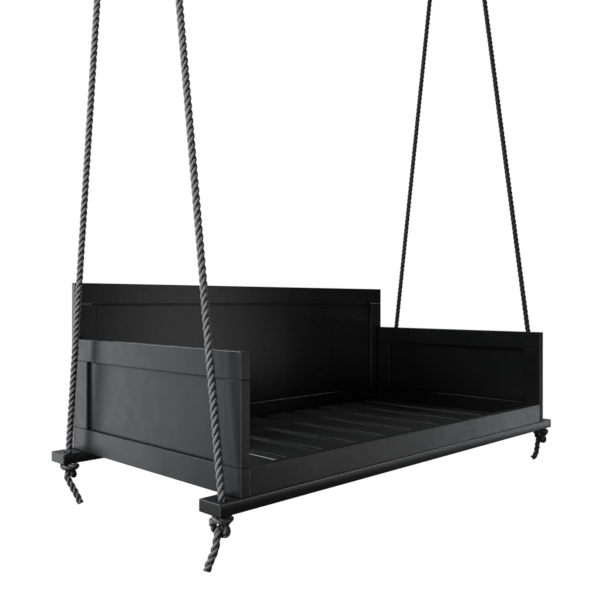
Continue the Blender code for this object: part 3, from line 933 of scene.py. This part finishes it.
# ------------------------------------------------------------------ lights
def area(name, at, aim, width, watts, height=None, spread=180, tint=(1.0, 1.0, 1.0),
         only=None, skip=None):
    """A rectangular lamp, square if it has no height, hidden from the camera.

    only: the pieces it lights; skip: the pieces it leaves out."""
    lamp = bpy.data.lights.new(name, "AREA")
    lamp.energy = watts
    lamp.color = tint
    lamp.shape = "RECTANGLE"
    lamp.size = width
    lamp.size_y = height or width
    lamp.spread = radians(spread)
    obj = bpy.data.objects.new(name, lamp)
    scene.collection.objects.link(obj)
    obj.location = at
    obj.rotation_euler = (Vector(aim) - Vector(at)).to_track_quat("-Z", "Y").to_euler()
    obj.visible_camera = False
    if only or skip:
        reach = bpy.data.collections.new(name + "_reach")
        for piece in only or skip:
            reach.objects.link(piece)
        obj.light_linking.receiver_collection = reach
        if skip:
            for entry in reach.collection_objects:
                entry.light_linking.link_state = "EXCLUDE"


RUNNERS = [NODES["front_runner"], NODES["rear_runner"]]
TIMBER = [obj for name, obj in NODES.items()
          if any(part in name for part in ("rail", "stile", "runner", "panel"))]
BACK_FRAME = [obj for name, obj in NODES.items() if name.startswith("back_")]
FAR_ARM = [obj for name, obj in NODES.items() if name.startswith("right_arm_")]
NEAR_KNOTS = [bpy.data.objects[name] for name in
              ("twisted_rope_front_left", "tied_knot_front_left", "tied_knot_front_right")]
FAR_ROPES = [bpy.data.objects["twisted_rope_%s_right" % end] for end in ("front", "rear")]
COOL = (0.93, 0.965, 1.0)

# tall softboxes behind the left end: their reflection lights the arm's outer face
area("softbox_left_rear", at=(-2.45, 3.4, 0.65), aim=(-0.9, 0.0, 0.5),
     width=1.1, height=3.2, watts=28.5, tint=COOL)
area("softbox_left_wing", at=(-3.55, 2.75, -0.10), aim=(-0.9, 0.0, 0.2),
     width=1.45, height=1.9, watts=10, tint=COOL)
# softbox past the right end, seen in the right half of the front rail; weak on far pieces
RIGHT_SOFTBOX = dict(at=(4.35, -2.25, -0.35), aim=(0.9, -0.5, 0.1), width=1.7, height=1.3,
                     tint=COOL)
area("softbox_right_low", watts=13, skip=FAR_ARM + BACK_FRAME, **RIGHT_SOFTBOX)
area("softbox_right_weak", watts=3, only=FAR_ARM + BACK_FRAME, **RIGHT_SOFTBOX)
# front box, seen in the back's left half
area("softbox_front", at=(3.0, -4.35, 0.35), aim=(-0.6, 0.0, 0.5),
     width=1.3, height=2.3, watts=1.5, spread=60)
# low and high front boxes, seen in the front rail's left half and the runner's rounded front
area("softbox_front_low", at=(2.65, -3.27, -0.62), aim=(-0.4, -0.53, 0.28),
     width=1.8, height=1.0, watts=3.5)
area("softbox_front_high", at=(3.6, -2.75, 2.1), aim=(0.0, -0.53, 0.28),
     width=3.0, height=1.7, watts=58, only=RUNNERS)
area("softbox_front_high_left", at=(1.9, -4.06, 1.95), aim=(-0.8, -0.53, 0.28),
     width=1.9, height=1.5, watts=22, only=RUNNERS)
# beside the camera: one for the timber's rounded corners, one for the near rope and knots
area("corner_fill", at=(-3.0, -2.15, 0.05), aim=(-1.0, -0.5, 0.3),
     width=1.0, watts=26, only=TIMBER)
area("knot_fill", at=(-3.0, -2.15, -0.1), aim=(-1.0, -0.5, 0.3),
     width=1.0, watts=8, only=NEAR_KNOTS)
# key from the left, weaker on the far ropes
KEY = dict(at=(-4.6, 0.4, 2.9), aim=(-1.0, 0.0, 0.9), width=1.6)
area("key_left", watts=170, skip=FAR_ROPES + FAR_ARM, **KEY)
area("key_far", watts=22, only=FAR_ROPES, **KEY)
# high ones, for the rounded top edges
area("rear_high", at=(-0.8, 4.2, 4.6), aim=(0.0, 0.0, 0.6),
     width=5.0, height=2.5, watts=280, tint=COOL, skip=FAR_ROPES)
area("right_high", at=(4.0, -0.6, 4.4), aim=(0.0, -0.3, 0.3),
     width=2.4, watts=60, skip=FAR_ROPES)
# wide ones all round, to fill the remaining faces
area("rear_fill", at=(3.6, 5.2, 0.1), aim=(0.0, 0.2, 0.4),
     width=3.2, height=2.8, watts=110, tint=COOL)
area("fill_front_left", at=(-2.6, -4.6, -0.4), aim=(0.0, 0.0, 0.4),
     width=3.2, height=2.4, watts=60, only=TIMBER)
area("fill_right", at=(5.4, 0.9, -0.2), aim=(1.0, 0.0, 0.4),
     width=3.0, height=2.0, watts=40, only=TIMBER)
area("fill_left", at=(-5.4, -0.6, -0.2), aim=(-1.0, 0.0, 0.4),
     width=2.6, height=2.0, watts=34, only=TIMBER)

# ------------------------------------------------------------------ camera
CAMERA_AT = (-2.4141, -2.1815, 0.8246)
YAW, TILT, ROLL = 0.791, 0.0018, 0.0013     # radians; yaw turns from +y towards +x
SENSOR_MM = 36.0
LENS_MM = 42.5436


def build_camera():
    """From the front left, looking to the rear right."""
    forward = Vector((sin(YAW) * cos(TILT), cos(YAW) * cos(TILT), sin(TILT)))
    level_right = Vector((cos(YAW), -sin(YAW), 0))
    level_up = level_right.cross(forward)
    right = cos(ROLL) * level_right + sin(ROLL) * level_up
    up = -sin(ROLL) * level_right + cos(ROLL) * level_up
    data = bpy.data.cameras.new("camera")
    camera = bpy.data.objects.new("camera", data)
    scene.collection.objects.link(camera)
    data.sensor_width = SENSOR_MM
    data.lens = LENS_MM
    rows = [(right[k], up[k], -forward[k], CAMERA_AT[k]) for k in range(3)]
    camera.matrix_world = Matrix((*rows, (0, 0, 0, 1)))
    scene.camera = camera


build_camera()
scene.view_settings.view_transform = "Standard"
scene.view_settings.look = "None"
